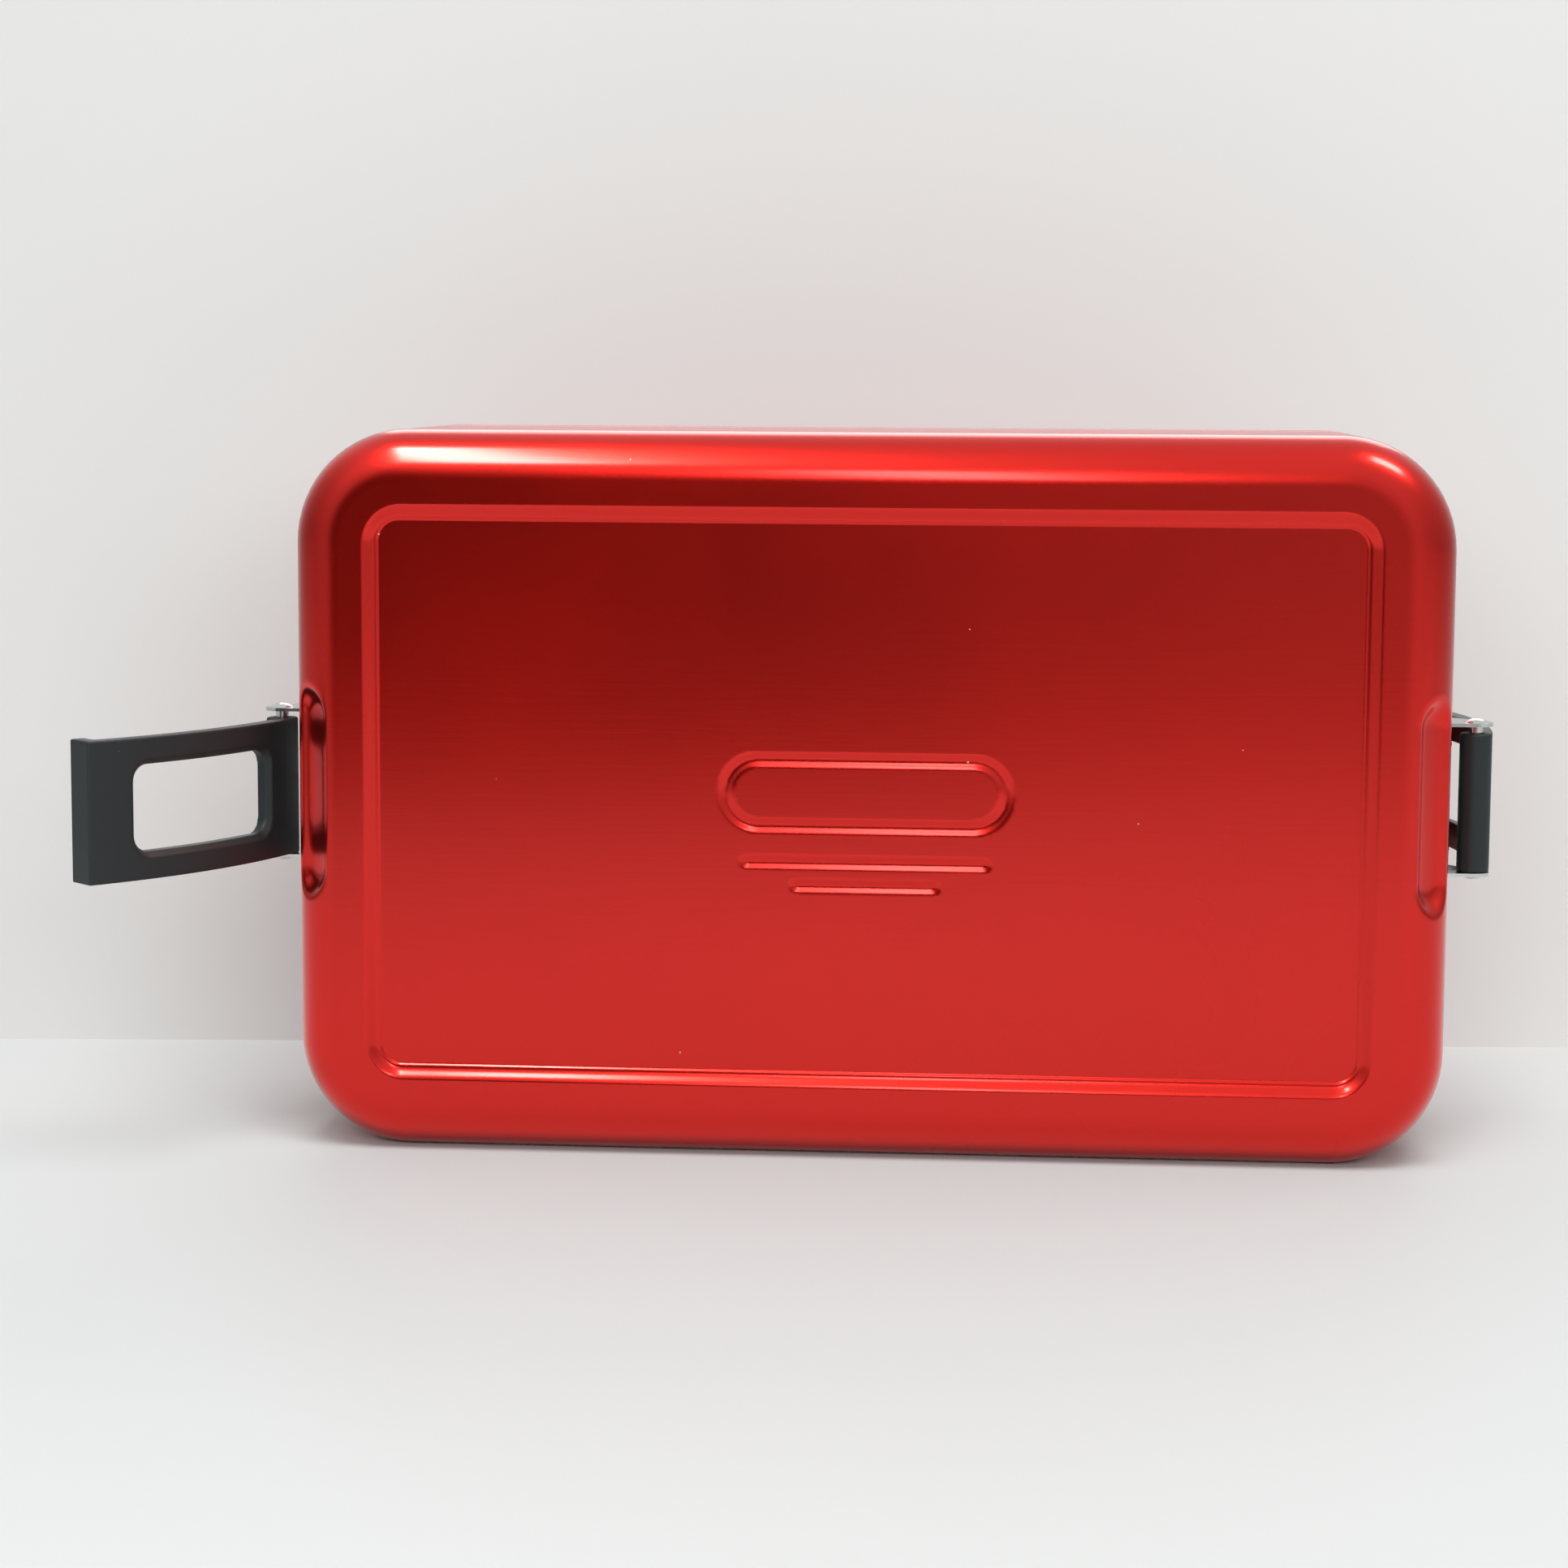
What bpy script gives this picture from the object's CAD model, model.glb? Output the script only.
"""A red anodised aluminium lunch box on its long side, underside to the front, with one side clip open."""
import math

import bmesh
import bpy
import numpy as np
from mathutils import Matrix, Vector


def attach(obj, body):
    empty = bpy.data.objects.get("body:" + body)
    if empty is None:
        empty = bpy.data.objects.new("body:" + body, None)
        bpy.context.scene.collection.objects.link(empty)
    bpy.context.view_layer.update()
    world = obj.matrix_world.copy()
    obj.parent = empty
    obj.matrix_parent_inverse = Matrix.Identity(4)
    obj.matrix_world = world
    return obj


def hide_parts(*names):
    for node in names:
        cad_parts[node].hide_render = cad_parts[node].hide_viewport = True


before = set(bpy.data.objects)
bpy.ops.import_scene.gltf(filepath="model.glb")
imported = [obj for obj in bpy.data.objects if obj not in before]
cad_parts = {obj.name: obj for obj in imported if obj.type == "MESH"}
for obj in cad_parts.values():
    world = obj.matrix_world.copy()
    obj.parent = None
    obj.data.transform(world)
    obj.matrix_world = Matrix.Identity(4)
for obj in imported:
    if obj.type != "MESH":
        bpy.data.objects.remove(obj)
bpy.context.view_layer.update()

MM = 0.001

# The box's sizes in millimetres, as in the part. Depth is measured in from the underside's foot ring, or
# from the same ring on the lid. Inset is measured in from the outer wall.
HALF_LENGTH = 104.0
HALF_WIDTH = 65.5
BOX_HEIGHT = 70.0
CORNER_RADIUS = 20.5
EDGE_RADIUS = 9.0
SHEET = 0.9
PANEL_DEPTH = 1.3
CREASE_INSET = 16.2
CREASE_CORNER = 3.6
SLOPE_WIDTH = 2.5
CREASE_WIDTH = 0.55
CREASE_DEPTH = 0.26
RING_INSET = 13.1
NECK_INSET = 1.2
RIM = 60.0
HEM_HEIGHT = 4.0
LID_HEIGHT = 18.7

SCALLOP_HALF = 16.3
SCALLOP_HALF_FLOOR = 2.2
SCALLOP_FLOOR_FROM_CENTRE = 6.8
SCALLOP_FLARE = 1.3
SCALLOP_ROUNDING = 0.45         # softens the foot of a scallop's wall
SCALLOP_EDGE = 0.55             # rounds a scallop's outer edge
SCALLOP_LIFT = 0.12             # makes up for that softening at the floor
INNER_SCALLOP_LIFT = 1.15       # sheets between a scallop's outer and inner floor

STAMP_DEPTH = 0.35
STAMP_CENTRE = -1.2
STAMP_HALF_LENGTH = 26.0
STAMP_HALF_WIDTH = 6.75
STAMP_LINE = 1.6
STAMP_BARS = ((22.0, 11.4), (13.0, 15.6))
BAR_WIDTH = 1.4
STAMP_EDGE = 0.7                # width of a stamped line's soft edge

STRAIGHT_LENGTH = HALF_LENGTH - CORNER_RADIUS
STRAIGHT_WIDTH = HALF_WIDTH - CORNER_RADIUS
HALF_CORNER = 8                 # mesh steps in half of an upright corner
PANEL_GRID_INSET = 21.3         # where the panel's square grid begins, and the width of its closing corners
PANEL_GRID_CORNER = 5.0
STAMP_ZONE = (31.0, 0.57)       # the fine mesh under the stamp: how far it reaches, and its pitch
SCALLOP_ZONE = (20.5, 0.53)     # the same at the scallops

# The stage, in metres.
WALL_PLACE = 0.078
WALL_TURN = 0.079               # the wall isn't quite square to the box
WALL_HEIGHT = 1.2
STAGE_REACH = 1.6
TABLE_FRONT = -0.58
TABLE_SKEW = 0.3
TABLE_BACK = 0.9
BOX_MIDDLE = (0.0, -0.02, 0.08)


# ---------------------------------------------------------------- material helpers

def new_material(name):
    """A material with an empty node tree."""
    material = bpy.data.materials.new(name)
    material.use_nodes = True
    material.node_tree.nodes.clear()
    return material


def node(tree, kind, **values):
    """Adds a node, sets its properties and its unlinked inputs by name."""
    made = tree.nodes.new(kind)
    for key, value in values.items():
        if hasattr(made, key):
            setattr(made, key, value)
        else:
            made.inputs[key.replace("_", " ")].default_value = value
    return made


def link(tree, start, end):
    tree.links.new(start, end)


def new_group(name, inputs, outputs):
    """An empty node group with named sockets; each input is (name, kind, default)."""
    group = bpy.data.node_groups.new(name, "ShaderNodeTree")
    for label, kind, default in inputs:
        socket = group.interface.new_socket(label, in_out="INPUT", socket_type=kind)
        if default is not None:
            socket.default_value = default
    for label, kind in outputs:
        group.interface.new_socket(label, in_out="OUTPUT", socket_type=kind)
    entry = group.nodes.new("NodeGroupInput")
    leave = group.nodes.new("NodeGroupOutput")
    return group, entry, leave


def place_group(tree, group, **values):
    """Adds a node group with its own input values."""
    made = tree.nodes.new("ShaderNodeGroup")
    made.node_tree = group
    for key, value in values.items():
        made.inputs[key.replace("_", " ")].default_value = value
    return made


def ramp(tree, factor, stops):
    """A colour ramp; each stop is (place, grey level)."""
    made = tree.nodes.new("ShaderNodeValToRGB")
    elements = made.color_ramp.elements
    while len(elements) < len(stops):
        elements.new(0.5)
    for element, (place, level) in zip(elements, stops):
        element.position = place
        element.color = (level, level, level, 1.0)
    link(tree, factor, made.inputs["Fac"])
    return made.outputs["Color"]


def maths(tree, operation, first, second=0.0):
    made = tree.nodes.new("ShaderNodeMath")
    made.operation = operation
    for socket, value in zip(made.inputs, (first, second)):
        if isinstance(value, (int, float)):
            socket.default_value = value
        else:
            link(tree, value, socket)
    return made.outputs[0]


# ---------------------------------------------------------------- effects shared by the materials

def make_grain_group():
    """Fine parallel drawing lines in the metal, stretched along the chosen axis, as a height and a mask."""
    group, entry, leave = new_group(
        "drawn_grain",
        [("Stretch", "NodeSocketVector", (40.0, 900.0, 900.0)), ("Patches", "NodeSocketFloat", 18.0)],
        [("Height", "NodeSocketFloat"), ("Cloud", "NodeSocketFloat")],
    )
    place = node(group, "ShaderNodeTexCoord")
    scaled = node(group, "ShaderNodeVectorMath", operation="MULTIPLY")
    link(group, place.outputs["Object"], scaled.inputs[0])
    link(group, entry.outputs["Stretch"], scaled.inputs[1])
    lines = node(group, "ShaderNodeTexNoise", Scale=1.0, Detail=3.0, Roughness=0.6)
    link(group, scaled.outputs[0], lines.inputs["Vector"])
    cloud = node(group, "ShaderNodeTexNoise", Detail=3.0, Roughness=0.55)
    link(group, place.outputs["Object"], cloud.inputs["Vector"])
    link(group, entry.outputs["Patches"], cloud.inputs["Scale"])
    link(group, lines.outputs["Fac"], leave.inputs["Height"])
    link(group, cloud.outputs["Fac"], leave.inputs["Cloud"])
    return group


def make_speckle_group():
    """Settled dust: sparse specks of mixed size, as a mask."""
    group, entry, leave = new_group(
        "settled_dust",
        [
            ("Scale", "NodeSocketFloat", 260.0),
            ("Size", "NodeSocketFloat", 0.09),
            ("Share", "NodeSocketFloat", 0.1),
        ],
        [("Specks", "NodeSocketFloat")],
    )
    place = node(group, "ShaderNodeTexCoord")
    cells = node(group, "ShaderNodeTexVoronoi", feature="F1")
    link(group, place.outputs["Object"], cells.inputs["Vector"])
    link(group, entry.outputs["Scale"], cells.inputs["Scale"])
    pick = node(group, "ShaderNodeSeparateColor")
    link(group, cells.outputs["Color"], pick.inputs[0])
    chosen = maths(group, "LESS_THAN", pick.outputs[0], 0.1)
    link(group, entry.outputs["Share"], chosen.node.inputs[1])
    radius = maths(group, "MULTIPLY", pick.outputs[1], 1.0)
    link(group, entry.outputs["Size"], radius.node.inputs[1])
    inside = maths(group, "LESS_THAN", cells.outputs["Distance"], radius)
    both = maths(group, "MULTIPLY", inside, chosen)
    link(group, both, leave.inputs["Specks"])
    return group


GRAIN = make_grain_group()
DUST = make_speckle_group()


def mixed_colour(tree, factor, first, second):
    """A colour that goes from the first to the second with the factor."""
    mixed = node(tree, "ShaderNodeMix", data_type="RGBA")
    colours = [socket for socket in mixed.inputs if socket.type == "RGBA"]
    colours[0].default_value = (*first, 1.0)
    colours[1].default_value = (*second, 1.0)
    link(tree, factor, mixed.inputs["Factor"])
    return [socket for socket in mixed.outputs if socket.type == "RGBA"][0]


def dusted(tree, shader, colour, dust_colour, scale, size, share):
    """Gives the shader a colour with settled dust on it, and returns the dust's mask."""
    dust = place_group(tree, DUST, Scale=scale, Size=size, Share=share)
    specks = dust.outputs["Specks"]
    link(tree, mixed_colour(tree, specks, colour, dust_colour), shader.inputs["Base Color"])
    return specks


def soft_noise(tree, scale, detail, roughness=0.5):
    """A cloudy value fixed to the piece."""
    place = node(tree, "ShaderNodeTexCoord")
    cloud = node(tree, "ShaderNodeTexNoise", Scale=scale, Detail=detail, Roughness=roughness)
    link(tree, place.outputs["Object"], cloud.inputs["Vector"])
    return cloud.outputs["Fac"]


def bumped(tree, shader, height, strength, distance):
    """Gives the shader's surface a fine relief."""
    bump = node(tree, "ShaderNodeBump", Strength=strength, Distance=distance)
    link(tree, height, bump.inputs["Height"])
    link(tree, bump.outputs[0], shader.inputs["Normal"])


def finish_material(tree, shader):
    leave = tree.nodes.new("ShaderNodeOutputMaterial")
    link(tree, shader.outputs[0], leave.inputs["Surface"])


# ---------------------------------------------------------------- materials

def red_anodised():
    """Dyed satin anodising: a deep red metal under a clear oxide skin, with a horizontal grain."""
    material = new_material("red_anodised")
    tree = material.node_tree
    shader = node(tree, "ShaderNodeBsdfPrincipled", Metallic=1.0)
    shader.inputs["Coat Weight"].default_value = 0.62
    shader.inputs["Coat Roughness"].default_value = 0.17
    shader.inputs["Coat IOR"].default_value = 1.5
    specks = dusted(tree, shader, (0.74, 0.011, 0.0045), (0.75, 0.5, 0.45), 330.0, 0.055, 0.05)
    grain = place_group(tree, GRAIN, Stretch=(45.0, 1100.0, 1100.0), Patches=14.0)
    cloud = ramp(tree, grain.outputs["Cloud"], [(0.35, 0.235), (0.7, 0.285)])
    rough = maths(tree, "MAXIMUM", cloud, maths(tree, "MULTIPLY", specks, 0.6))
    link(tree, rough, shader.inputs["Roughness"])
    bumped(tree, shader, grain.outputs["Height"], 0.12, 0.00005)
    finish_material(tree, shader)
    return material


def bare_aluminium():
    """The inside: undyed drawn aluminium, satin, with upright drawing lines."""
    material = new_material("bare_aluminium")
    tree = material.node_tree
    shader = node(tree, "ShaderNodeBsdfPrincipled", Metallic=1.0)
    dusted(tree, shader, (0.74, 0.74, 0.745), (0.5, 0.5, 0.48), 300.0, 0.05, 0.04)
    grain = place_group(tree, GRAIN, Stretch=(700.0, 40.0, 700.0), Patches=22.0)
    cloud = ramp(tree, grain.outputs["Cloud"], [(0.3, 0.3), (0.7, 0.4)])
    link(tree, cloud, shader.inputs["Roughness"])
    bumped(tree, shader, grain.outputs["Height"], 0.2, 0.00008)
    finish_material(tree, shader)
    return material


def polished_steel():
    """Bright stainless steel with faint polishing lines and a little wear."""
    material = new_material("polished_steel")
    tree = material.node_tree
    shader = node(tree, "ShaderNodeBsdfPrincipled", Metallic=1.0)
    dusted(tree, shader, (0.66, 0.655, 0.64), (0.3, 0.29, 0.27), 900.0, 0.1, 0.06)
    grain = place_group(tree, GRAIN, Stretch=(300.0, 2600.0, 2600.0), Patches=160.0)
    cloud = ramp(tree, grain.outputs["Cloud"], [(0.3, 0.1), (0.75, 0.2)])
    link(tree, cloud, shader.inputs["Roughness"])
    bumped(tree, shader, grain.outputs["Height"], 0.1, 0.00003)
    finish_material(tree, shader)
    return material


def charcoal_plastic():
    """Moulded charcoal nylon: matt, with a fine spark-eroded texture and a few specks."""
    material = new_material("charcoal_plastic")
    tree = material.node_tree
    shader = node(tree, "ShaderNodeBsdfPrincipled", Metallic=0.0)
    shader.inputs["Specular IOR Level"].default_value = 0.45
    dusted(tree, shader, (0.012, 0.0165, 0.018), (0.2, 0.2, 0.19), 420.0, 0.06, 0.05)
    pits = soft_noise(tree, 3800.0, 2.0)
    handled = soft_noise(tree, 60.0, 3.0)
    rough = ramp(tree, handled, [(0.3, 0.42), (0.7, 0.55)])
    link(tree, rough, shader.inputs["Roughness"])
    bumped(tree, shader, pits, 0.25, 0.00006)
    finish_material(tree, shader)
    return material


def seal_silicone():
    """Milky silicone rubber with a faint bloom."""
    material = new_material("seal_silicone")
    tree = material.node_tree
    shader = node(tree, "ShaderNodeBsdfPrincipled", Metallic=0.0)
    shader.inputs["Subsurface Weight"].default_value = 0.15
    shader.inputs["Subsurface Scale"].default_value = 0.002
    dusted(tree, shader, (0.66, 0.66, 0.63), (0.4, 0.38, 0.34), 500.0, 0.07, 0.08)
    bloom = soft_noise(tree, 90.0, 4.0, 0.6)
    rough = ramp(tree, bloom, [(0.3, 0.38), (0.75, 0.6)])
    link(tree, rough, shader.inputs["Roughness"])
    bumped(tree, shader, bloom, 0.15, 0.0001)
    finish_material(tree, shader)
    return material


# ---------------------------------------------------------------- the pressed pans

def steps(*runs):
    """Places along a line; each run is (start, end, pitch), and the runs follow one another."""
    places = [runs[0][0]]
    for start, end, pitch in runs:
        count = max(1, round(abs(end - start) / pitch))
        places += [start + (end - start) * (k + 1) / count for k in range(count)]
    return np.array(places)


def ease(share):
    """Rises smoothly from 0 to 1."""
    share = np.clip(share, 0.0, 1.0)
    return share * share * (3 - 2 * share)


def panel_height(inset):
    """How deep the recessed panel lies at an inset from the wall: a soft slope, then a small sharp crease."""
    start = CREASE_INSET - CREASE_WIDTH - SLOPE_WIDTH
    slope = (PANEL_DEPTH - CREASE_DEPTH) * ease((inset - start) / SLOPE_WIDTH)
    return slope + CREASE_DEPTH * ease((inset - start - SLOPE_WIDTH) / CREASE_WIDTH)


def outer_stations():
    """(inset, depth, normal inset, normal depth) from the panel over the crease and ring to the wall."""
    stations = []
    runs = ((16.5, CREASE_INSET, 0.15), (CREASE_INSET, 15.6, 0.075), (15.6, 13.0, 0.18), (13.0, 9.4, 0.9))
    for inset in steps(*runs):
        height = float(panel_height(np.array(inset)))
        rise = (float(panel_height(np.array(inset + 0.01))) - height) / 0.01
        size = math.hypot(1.0, rise)
        stations.append((inset, height, -rise / size, 1.0 / size))
    for angle in steps((0.0, 90.0, 3.0)):
        turn = math.radians(angle)
        inset = EDGE_RADIUS * (1 - math.sin(turn))
        height = EDGE_RADIUS * (1 - math.cos(turn))
        stations.append((inset, height, math.sin(turn), math.cos(turn)))
    return stations


def inner_stations(stations):
    """Every second station, on the inner side of the sheet."""
    kept = stations[:-1:2] + stations[-1:]
    return [(inset + SHEET * a, depth + SHEET * b) for inset, depth, a, b in kept]


def tub_profile(stations):
    """The tub's whole section: underside, wall, neck, folded hem, and back inside."""
    outside = [(inset, depth) for inset, depth, _, _ in stations]
    wall = [(0.0, 16.0), (0.0, 28.0), (0.0, 40.0), (0.0, 49.0)]
    curl = [(0.02, 50.2), (0.12, 50.6), (0.4, 50.9), (0.8, 51.05), (1.08, 51.25), (NECK_INSET, 51.7)]
    neck = [(NECK_INSET, 53.0), (NECK_INSET, 56.0), (NECK_INSET, 58.6)]
    rim = [(NECK_INSET + SHEET * (1 - math.cos(t)), RIM - SHEET + SHEET * math.sin(t))
           for t in np.radians(np.arange(0.0, 181.0, 15.0))]
    hem_end = RIM - HEM_HEIGHT
    hem_face = NECK_INSET + 2 * SHEET
    neck_back = NECK_INSET + SHEET
    hem = [(hem_face, hem_end + 0.35), (hem_face - 0.12, hem_end + 0.1)]
    fold = [(hem_face - 0.4, hem_end), (neck_back + 0.05, hem_end)]
    shoulder = [(neck_back, 55.6), (neck_back, 51.4), (neck_back - 0.3, 50.6), (1.3, 50.2)]
    inner_wall = [(SHEET, 49.4), (SHEET, 40.0), (SHEET, 28.0), (SHEET, 16.0)]
    inside = inner_stations(stations)[::-1]
    return outside + wall + curl + neck + rim + hem + fold + shoulder + inner_wall + inside


def lid_profile(stations):
    """The lid's whole section, with a rounded lower edge on its skirt."""
    outside = [(inset, depth) for inset, depth, _, _ in stations]
    edge = SHEET / 2
    wall = [(0.0, 12.0), (0.0, 15.0), (0.0, LID_HEIGHT - edge)]
    rim = [(edge * (1 - math.cos(t)), LID_HEIGHT - edge + edge * math.sin(t))
           for t in np.radians(np.arange(20.0, 180.0, 20.0))]
    inner_wall = [(SHEET, LID_HEIGHT - edge), (SHEET, 15.0), (SHEET, 12.0)]
    inside = inner_stations(stations)[::-1]
    return outside + wall + rim + inner_wall + inside


def loop_corner(inset):
    """Corner radius at an inset: concentric down to the ring, then tightening to the crease's own corner."""
    if inset <= RING_INSET:
        return CORNER_RADIUS - inset
    share = min(1.0, (inset - RING_INSET) / (CREASE_INSET - RING_INSET))
    ring_corner = CORNER_RADIUS - RING_INSET
    return ring_corner + (CREASE_CORNER - ring_corner) * share


def rounded_loop(inset, along, across):
    """A closed loop of points round the box, from the middle of one corner.

    along and across are places on the straight sides, from -1 to 1."""
    radius = loop_corner(inset)
    centre = np.array([HALF_LENGTH - inset - radius, HALF_WIDTH - inset - radius])
    points = []
    for side in range(4):
        places = (along if side % 2 == 0 else across)[1:-1]
        turn = side * math.pi / 2
        heading = np.array([math.cos(turn), math.sin(turn)])
        outward = np.array([math.sin(turn), -math.cos(turn)])
        reach = abs(heading @ centre)
        depth = abs(outward @ centre)
        for k in range(HALF_CORNER):
            lean = math.radians(45.0) * (1 - k / HALF_CORNER)
            arc = radius * (math.cos(lean) * outward - math.sin(lean) * heading)
            points.append(-reach * heading + depth * outward + arc)
        points.append(-reach * heading + (depth + radius) * outward)
        points += [place * reach * heading + (depth + radius) * outward for place in places]
        for k in range(HALF_CORNER):
            lean = math.radians(45.0) * k / HALF_CORNER
            arc = radius * (math.cos(lean) * outward + math.sin(lean) * heading)
            points.append(reach * heading + depth * outward + arc)
    return np.array(points)


def section_loops(section, along, across):
    """One loop of points for each (inset, depth) of a section, and the number of points in a loop."""
    loops = []
    for inset, depth in section:
        row = rounded_loop(inset, along, across)
        loops.append(np.column_stack([row, np.full(len(row), depth)]))
    return np.concatenate(loops), len(loops[0])


def soft_least(first, second, blend):
    """The lesser of two heights, rounded where they meet."""
    share = np.clip(0.5 + 0.5 * (second - first) / blend, 0.0, 1.0)
    return second * (1 - share) + first * share - blend * share * (1 - share)


def press_scallops(points, inner):
    """Moves the points on both rounded end edges in along 45 degrees, where the scallops are stamped.

    height and across are measured from the middle of the edge's rounding, out along the 45 degrees and
    square to it. inner is 1 for a point on the inside of the sheet."""
    for end in (-1.0, 1.0):
        outwards = points[:, 0] * end - (HALF_LENGTH - EDGE_RADIUS)
        deeper = points[:, 2] - EDGE_RADIUS
        across = (outwards + deeper) / math.sqrt(2)
        height = (outwards - deeper) / math.sqrt(2)
        beyond = np.maximum(np.abs(points[:, 1]) - (SCALLOP_HALF - SCALLOP_HALF_FLOOR), 0.0)
        out = np.hypot(beyond, across) - SCALLOP_HALF_FLOOR
        wall = 0.5 * (out + np.sqrt(out ** 2 + SCALLOP_ROUNDING)) / SCALLOP_FLARE
        floor = SCALLOP_FLOOR_FROM_CENTRE - SCALLOP_LIFT - inner * SHEET * INNER_SCALLOP_LIFT + wall
        beside = np.abs(points[:, 1]) < SCALLOP_HALF + 6
        near = beside & (outwards > -EDGE_RADIUS) & (deeper < EDGE_RADIUS) & (height > 0)
        pressed = np.where(near, soft_least(height, floor, SCALLOP_EDGE), height)
        move = (pressed - height) / math.sqrt(2)
        points[:, 0] += move * end
        points[:, 2] -= move


def groove(distance, half_line):
    """How far a stamped line is pressed, from 0 to 1, at a distance from its middle."""
    return ease((half_line - np.abs(distance)) / STAMP_EDGE + 0.5)


def press_stamp(points):
    """Presses the plain oblong ring and the two bars into the panel."""
    x = points[:, 0]
    y = points[:, 1]
    middle = STAMP_HALF_WIDTH - STAMP_LINE / 2
    reach = np.maximum(np.abs(x) - (STAMP_HALF_LENGTH - STAMP_HALF_WIDTH), 0.0)
    ring = np.hypot(reach, y - STAMP_CENTRE) - middle
    pressed = groove(ring, STAMP_LINE / 2)
    for half_length, place in STAMP_BARS:
        reach = np.maximum(np.abs(x) - (half_length - BAR_WIDTH / 2), 0.0)
        pressed = np.maximum(pressed, groove(np.hypot(reach, y - place), BAR_WIDTH / 2))
    points[:, 2] += STAMP_DEPTH * pressed


def grid_places(reach, places):
    """Where the panel grid's lines lie, with the closing corners' lines at both ends."""
    corner = np.arange(HALF_CORNER) / HALF_CORNER * PANEL_GRID_CORNER
    return np.concatenate([corner - reach, places * (reach - PANEL_GRID_CORNER), reach - corner[::-1]])


def pan_mesh(profile, along, across, inner_from, stamped):
    """Lofts a pan from its section, closes both panels with a grid, and presses the scallops and stamp."""
    band, size = section_loops(profile, along, across)
    faces = []
    marks = []
    for r in range(len(profile) - 1):
        for c in range(size):
            d = (c + 1) % size
            faces.append((r * size + c, r * size + d, (r + 1) * size + d, (r + 1) * size + c))
            marks.append(1 if r >= inner_from else 0)
    wide = len(along) - 1 + 2 * HALF_CORNER
    tall = len(across) - 1 + 2 * HALF_CORNER
    blocks = [band]
    columns = grid_places(HALF_LENGTH - PANEL_GRID_INSET, along)
    lines = grid_places(HALF_WIDTH - PANEL_GRID_INSET, across)
    start = len(band)
    for row, mark in ((0, 0), (len(profile) - 1, 1)):
        flat = np.array([(x, y, profile[row][1]) for y in lines for x in columns])
        blocks.append(flat)
        edge = [start + i for i in range(wide)]
        edge += [start + j * (wide + 1) + wide for j in range(tall)]
        edge += [start + tall * (wide + 1) + wide - i for i in range(wide)]
        edge += [start + (tall - j) * (wide + 1) for j in range(tall)]
        for c in range(size):
            d = (c + 1) % size
            faces.append((row * size + c, row * size + d, edge[d], edge[c]))
            marks.append(mark)
        for j in range(tall):
            for i in range(wide):
                a = start + j * (wide + 1) + i
                faces.append((a, a + 1, a + wide + 2, a + wide + 1))
                marks.append(mark)
        start += len(flat)
    points = np.concatenate(blocks)
    inner = np.zeros(len(points))
    inner[inner_from * size:len(band)] = 1.0
    inner[len(band) + len(flat):] = 1.0
    press_scallops(points, inner)
    if stamped:
        on_panel = (np.abs(points[:, 0]) < 60) & (np.abs(points[:, 1]) < 30) & (points[:, 2] < 10)
        part = points[on_panel]
        press_stamp(part)
        points[on_panel] = part
    return points, faces, marks


def build_piece(name, points, faces, marks, materials):
    """A shaded mesh object in metres, with every face turned outwards."""
    mesh = bpy.data.meshes.new(name)
    mesh.from_pydata([tuple(p) for p in points * MM], [], faces)
    for material in materials:
        mesh.materials.append(material)
    mesh.polygons.foreach_set("material_index", marks)
    shaped = bmesh.new()
    shaped.from_mesh(mesh)
    bmesh.ops.recalc_face_normals(shaped, faces=shaped.faces)
    shaped.to_mesh(mesh)
    shaped.free()
    mesh.polygons.foreach_set("use_smooth", [True] * len(mesh.polygons))
    piece = bpy.data.objects.new(name, mesh)
    bpy.context.scene.collection.objects.link(piece)
    return piece


def place_pan(points, from_lid):
    """Stands a pan up on its long wall: length along x, depth along y, and width upwards, in millimetres."""
    if from_lid:
        height = BOX_HEIGHT / 2 - points[:, 2]
    else:
        height = points[:, 2] - BOX_HEIGHT / 2
    return np.column_stack([points[:, 0], height, HALF_WIDTH - points[:, 1]])


def unit_steps(half, *runs):
    """Symmetric places from -1 to 1; each run is (end in millimetres, pitch), from the middle out."""
    spans = []
    start = 0.0
    for end, pitch in runs:
        spans.append((start, end, pitch))
        start = end
    places = steps(*spans) / half
    return np.concatenate([-places[:0:-1], places])


def make_tub(materials):
    stations = outer_stations()
    profile = tub_profile(stations)
    along = unit_steps(STRAIGHT_LENGTH, STAMP_ZONE, (STRAIGHT_LENGTH, 5.2))
    across = unit_steps(STRAIGHT_WIDTH, SCALLOP_ZONE, (STRAIGHT_WIDTH, 3.4))
    inner_from = next(k for k, (_, depth) in enumerate(profile) if depth >= RIM - 0.01)
    points, faces, marks = pan_mesh(profile, along, across, inner_from, True)
    tub = build_piece("tub_pan", place_pan(points, False), faces, marks, materials)
    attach(tub, "tub")
    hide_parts("tub_shell")
    return tub


def make_lid(materials):
    stations = outer_stations()
    profile = lid_profile(stations)
    along = unit_steps(STRAIGHT_LENGTH, (STRAIGHT_LENGTH, 4.2))
    across = unit_steps(STRAIGHT_WIDTH, SCALLOP_ZONE, (STRAIGHT_WIDTH, 3.4))
    inner_from = next(k for k, (_, depth) in enumerate(profile) if depth >= LID_HEIGHT - 0.01)
    points, faces, marks = pan_mesh(profile, along, across, inner_from, False)
    lid = build_piece("lid_pan", place_pan(points, True), faces, marks, materials)
    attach(lid, "lid")
    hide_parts("lid_shell")
    return lid


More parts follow.
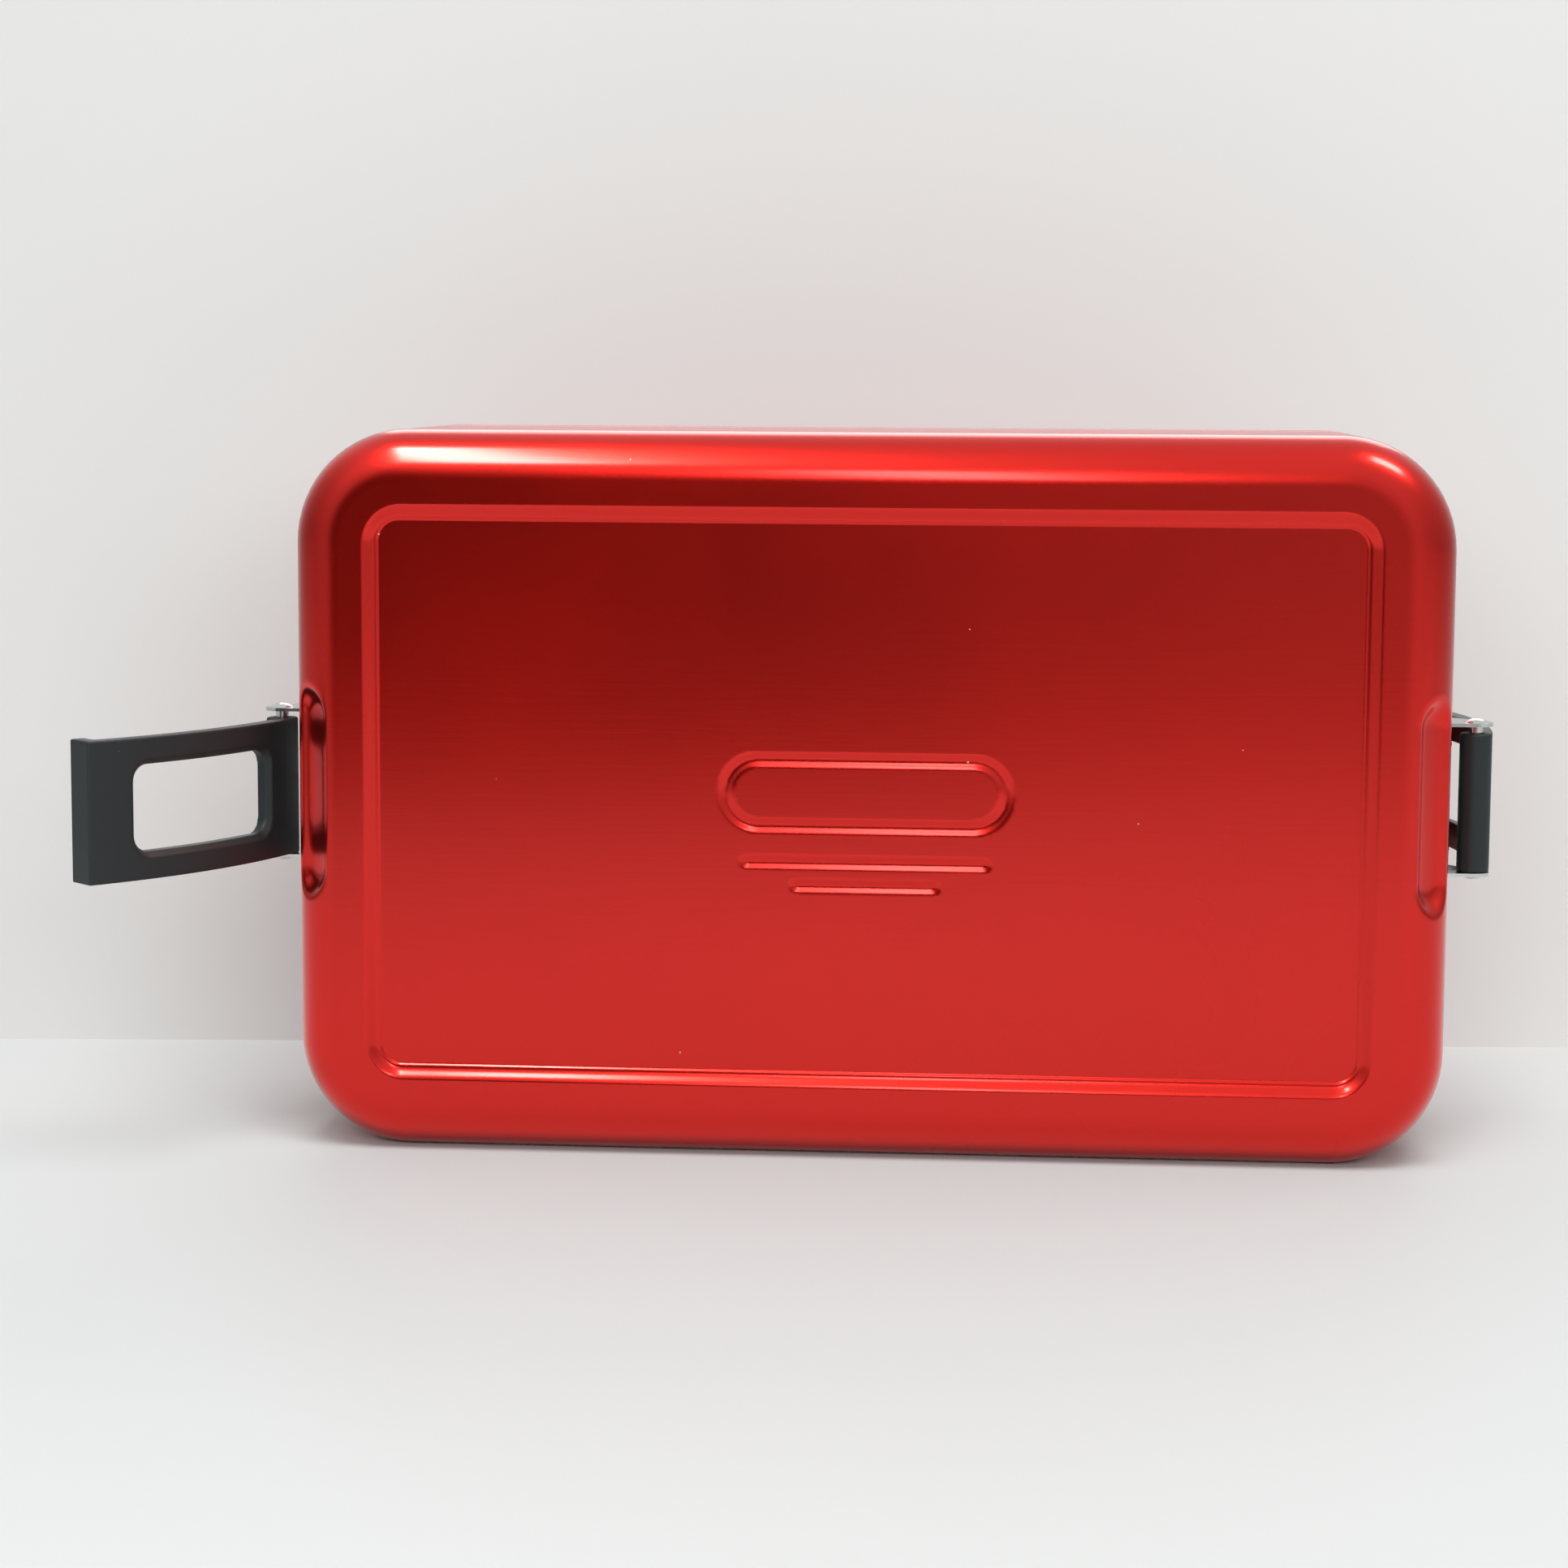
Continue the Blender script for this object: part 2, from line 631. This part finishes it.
def make_seal(material):
    """The seal ring: a rounded section with a shallow groove on the face that meets the rim."""
    section = [(1.5, 60.1), (1.9, 60.0), (2.4, 60.02), (2.8, 60.22), (3.2, 60.02), (3.7, 60.0), (4.1, 60.1)]
    section += [(4.1, 61.0), (4.1, 62.0), (4.05, 62.45), (3.8, 62.6), (3.0, 62.6), (2.2, 62.6), (1.95, 62.5)]
    section += [(1.55, 62.05), (1.5, 61.8), (1.5, 61.0)]
    along = unit_steps(STRAIGHT_LENGTH, (STRAIGHT_LENGTH, 4.2))
    across = unit_steps(STRAIGHT_WIDTH, (STRAIGHT_WIDTH, 3.2))
    points, size = section_loops(section, along, across)
    faces = []
    for r in range(len(section)):
        s = (r + 1) % len(section)
        for c in range(size):
            d = (c + 1) % size
            faces.append((r * size + c, r * size + d, s * size + d, s * size + c))
    seal = build_piece("seal_ring", place_pan(points, False), faces, [0] * len(faces), [material])
    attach(seal, "lid")
    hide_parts("lid_gasket")
    return seal


# ---------------------------------------------------------------- clips and brackets

def soften_copy(name, source, voxel, rounds):
    """A copy of a drawn part, remeshed and smoothed, so that its moulded edges are rounded."""
    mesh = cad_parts[source].data.copy()
    mesh.materials.clear()
    piece = bpy.data.objects.new(name, mesh)
    bpy.context.scene.collection.objects.link(piece)
    remesh = piece.modifiers.new("remesh", "REMESH")
    remesh.mode = "VOXEL"
    remesh.voxel_size = voxel
    remesh.use_smooth_shade = True
    ease = piece.modifiers.new("ease", "SMOOTH")
    ease.factor = 0.5
    ease.iterations = rounds
    graph = bpy.context.evaluated_depsgraph_get()
    shaped = bpy.data.meshes.new_from_object(piece.evaluated_get(graph))
    piece.modifiers.clear()
    piece.data = shaped
    return piece


def make_clip(side, material):
    clip = soften_copy(side + "_clip", side + "_clip_lever", 0.00024, 4)
    clip.data.materials.append(material)
    clip.data.polygons.foreach_set("use_smooth", [True] * len(clip.data.polygons))
    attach(clip, side + "_clip")
    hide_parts(side + "_clip_lever")
    return clip


def dress_steel(material):
    """The brackets, pins and rivets keep their drawn shape and get the steel."""
    for name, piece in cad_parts.items():
        if "bracket" in name or "pin" in name or "rivet" in name:
            piece.data.materials.clear()
            piece.data.materials.append(material)


# ---------------------------------------------------------------- stage, light and camera

def plain_paper(name, colour):
    """A matt, slightly cloudy pale surface; returns the material, its tree and its shader."""
    material = new_material(name)
    tree = material.node_tree
    shader = node(tree, "ShaderNodeBsdfPrincipled")
    shader.inputs["Roughness"].default_value = 0.6
    shader.inputs["Specular IOR Level"].default_value = 0.2
    darker = [channel * 0.97 for channel in colour]
    mixed = mixed_colour(tree, soft_noise(tree, 5.0, 2.0), colour, darker)
    link(tree, mixed, shader.inputs["Base Color"])
    return material, tree, shader


def flat_sheet(name, corners, material):
    """One flat piece of the stage."""
    mesh = bpy.data.meshes.new(name)
    mesh.from_pydata(corners, [], [(0, 1, 2, 3)])
    mesh.materials.append(material)
    sheet = bpy.data.objects.new(name, mesh)
    bpy.context.scene.collection.objects.link(sheet)
    return sheet


def make_stage():
    """A pale table and a pale wall behind it; the wall only shows from its front."""
    paper, tree, shader = plain_paper("table_paper", (0.76, 0.775, 0.775))
    finish_material(tree, shader)
    front_left = (-STAGE_REACH, TABLE_FRONT + TABLE_SKEW, 0.0)
    front_right = (STAGE_REACH, TABLE_FRONT - TABLE_SKEW, 0.0)
    back_right = (STAGE_REACH, TABLE_BACK, 0.0)
    back_left = (-STAGE_REACH, TABLE_BACK, 0.0)
    flat_sheet("table_top", [front_left, front_right, back_right, back_left], paper)
    paint, tree, shader = plain_paper("wall_paint", (0.9, 0.905, 0.89))
    clear = node(tree, "ShaderNodeBsdfTransparent")
    facing = node(tree, "ShaderNodeNewGeometry")
    choice = node(tree, "ShaderNodeMixShader")
    link(tree, facing.outputs["Backfacing"], choice.inputs[0])
    link(tree, shader.outputs[0], choice.inputs[1])
    link(tree, clear.outputs[0], choice.inputs[2])
    finish_material(tree, choice)
    left = (-STAGE_REACH, WALL_PLACE - STAGE_REACH * WALL_TURN)
    right = (STAGE_REACH, WALL_PLACE + STAGE_REACH * WALL_TURN)
    corners = [(*left, 0.0), (*right, 0.0), (*right, WALL_HEIGHT), (*left, WALL_HEIGHT)]
    wall = flat_sheet("wall", corners, paint)
    wall.visible_glossy = False
    wall.visible_shadow = False


def first_light(tree, kept):
    """1 for light that falls straight on a surface, and the kept share once it has left a matt one."""
    path = node(tree, "ShaderNodeLightPath")
    direct = maths(tree, "LESS_THAN", path.outputs["Diffuse Depth"], 0.5)
    return maths(tree, "MAXIMUM", direct, kept)


def limit_lamp(lamp, kept):
    """The red metal throws only the kept share of the lamp's light on to the paper."""
    lamp.data.use_nodes = True
    tree = lamp.data.node_tree
    link(tree, first_light(tree, kept), tree.nodes["Emission"].inputs["Strength"])


def soft_light(name, start, end, width, target, radiance):
    """A rectangular softbox whose middle line runs from start to end, turned towards the target."""
    line = Vector(end) - Vector(start)
    middle = (Vector(start) + Vector(end)) / 2
    light = bpy.data.lights.new(name, "AREA")
    light.shape = "RECTANGLE"
    light.size = width
    light.size_y = line.length
    light.energy = radiance * math.pi * width * line.length
    lamp = bpy.data.objects.new(name, light)
    upright = line.normalized()
    back = (middle - Vector(target)).normalized()
    side = upright.cross(back).normalized()
    back = side.cross(upright).normalized()
    turned = Matrix((side, upright, back)).transposed().to_4x4()
    lamp.matrix_world = Matrix.Translation(middle) @ turned
    lamp.visible_camera = False
    bpy.context.scene.collection.objects.link(lamp)
    return lamp


def make_lights():
    """Bright strips and softboxes that show in the metal, and plain light from above and in front."""
    left = soft_light("left_strip", (-0.155, -0.1, 0.47), (-0.14, -0.40, 0.43), 0.05, BOX_MIDDLE, 42.0)
    middle = soft_light("middle_strip", (-0.02, -0.52, 0.38), (0.0, -0.85, 0.27), 0.06, BOX_MIDDLE, 11.0)
    right = soft_light("right_softbox", (0.30, -0.14, 0.66), (0.54, -0.14, 0.66), 0.14, BOX_MIDDLE, 21.0)
    for lamp in (left, middle, right):
        lamp.visible_diffuse = False
        limit_lamp(lamp, 0.0)
    overhead = soft_light("overhead_softbox", (-0.3, -0.6, 1.5), (0.7, -0.6, 1.5), 0.8, BOX_MIDDLE, 6.4)
    soft_light("rear_softbox", (-0.5, 1.2, 0.9), (0.6, 1.2, 0.9), 0.6, BOX_MIDDLE, 2.0)
    fill = soft_light("front_fill", (-0.45, -1.2, 0.55), (0.85, -1.2, 0.55), 0.5, (0.05, 0.08, 0.33), 4.7)
    for lamp in (overhead, fill):
        lamp.visible_glossy = False
        limit_lamp(lamp, 0.4)


def direction_ramp(tree, value, stops):
    """A grey level that depends on one part of the direction, given from -1 to 1."""
    shifted = maths(tree, "ADD", maths(tree, "MULTIPLY", value, 0.5), 0.5)
    return ramp(tree, shifted, [(0.5 + 0.5 * place, level) for place, level in stops])


def make_world():
    """Soft room light: pale all round, but dim in front of the box at eye level, a little to its left."""
    world = bpy.data.worlds.new("room")
    world.use_nodes = True
    tree = world.node_tree
    tree.nodes.clear()
    place = node(tree, "ShaderNodeTexCoord")
    parts = node(tree, "ShaderNodeSeparateXYZ")
    link(tree, place.outputs["Generated"], parts.inputs[0])
    height_stops = [(-1.0, 0.5), (0.0, 0.52), (0.3, 0.66), (0.6, 0.76), (1.0, 0.76)]
    height = direction_ramp(tree, parts.outputs["Z"], height_stops)
    towards = node(tree, "ShaderNodeVectorMath", operation="DOT_PRODUCT")
    link(tree, place.outputs["Generated"], towards.inputs[0])
    towards.inputs[1].default_value = Vector((-0.26, -0.965, 0.04)).normalized()
    dim = direction_ramp(tree, towards.outputs["Value"], [(0.78, 1.0), (0.93, 0.72), (0.985, 0.06)])
    side_stops = [(-1.0, 0.5), (-0.8, 0.72), (-0.6, 1.05), (-0.4, 1.0), (0.5, 1.0), (0.8, 0.75), (1.0, 0.65)]
    sides = direction_ramp(tree, parts.outputs["X"], side_stops)
    level = maths(tree, "MULTIPLY", maths(tree, "MULTIPLY", height, dim), sides)
    level = maths(tree, "MULTIPLY", level, first_light(tree, 0.4))
    light = node(tree, "ShaderNodeBackground")
    shade = node(tree, "ShaderNodeCombineColor")
    for channel, tint in zip(("Red", "Green", "Blue"), (0.98, 1.0, 0.99)):
        link(tree, maths(tree, "MULTIPLY", level, tint), shade.inputs[channel])
    link(tree, shade.outputs[0], light.inputs["Color"])
    light.inputs["Strength"].default_value = 1.0
    leave = tree.nodes.new("ShaderNodeOutputWorld")
    link(tree, light.outputs[0], leave.inputs["Surface"])
    bpy.context.scene.world = world


def make_camera():
    """Level with the box's upper part, a little to its right, looking slightly down."""
    lens = bpy.data.cameras.new("camera")
    lens.lens = 80.7
    lens.sensor_width = 36.0
    lens.clip_start = 0.01
    lens.clip_end = 20.0
    camera = bpy.data.objects.new("camera", lens)
    right = Vector((0.99682, 0.07977, 0.00556))
    up = Vector((-0.01478, 0.11554, 0.99320))
    ahead = Vector((-0.07858, 0.99010, -0.11634))
    turned = Matrix((right, up, -ahead)).transposed().to_4x4()
    camera.matrix_world = Matrix.Translation((0.0348, -0.6567, 0.1415)) @ turned
    bpy.context.scene.collection.objects.link(camera)
    bpy.context.scene.camera = camera


# ---------------------------------------------------------------- the whole box

steel = polished_steel()
plastic = charcoal_plastic()
shells = [red_anodised(), bare_aluminium()]

make_camera()
make_stage()
make_lights()
make_world()
make_tub(shells)
make_lid(shells)
make_seal(seal_silicone())
make_clip("left", plastic)
make_clip("right", plastic)
dress_steel(steel)

bpy.context.scene.view_settings.view_transform = "Standard"
bpy.context.view_layer.update()
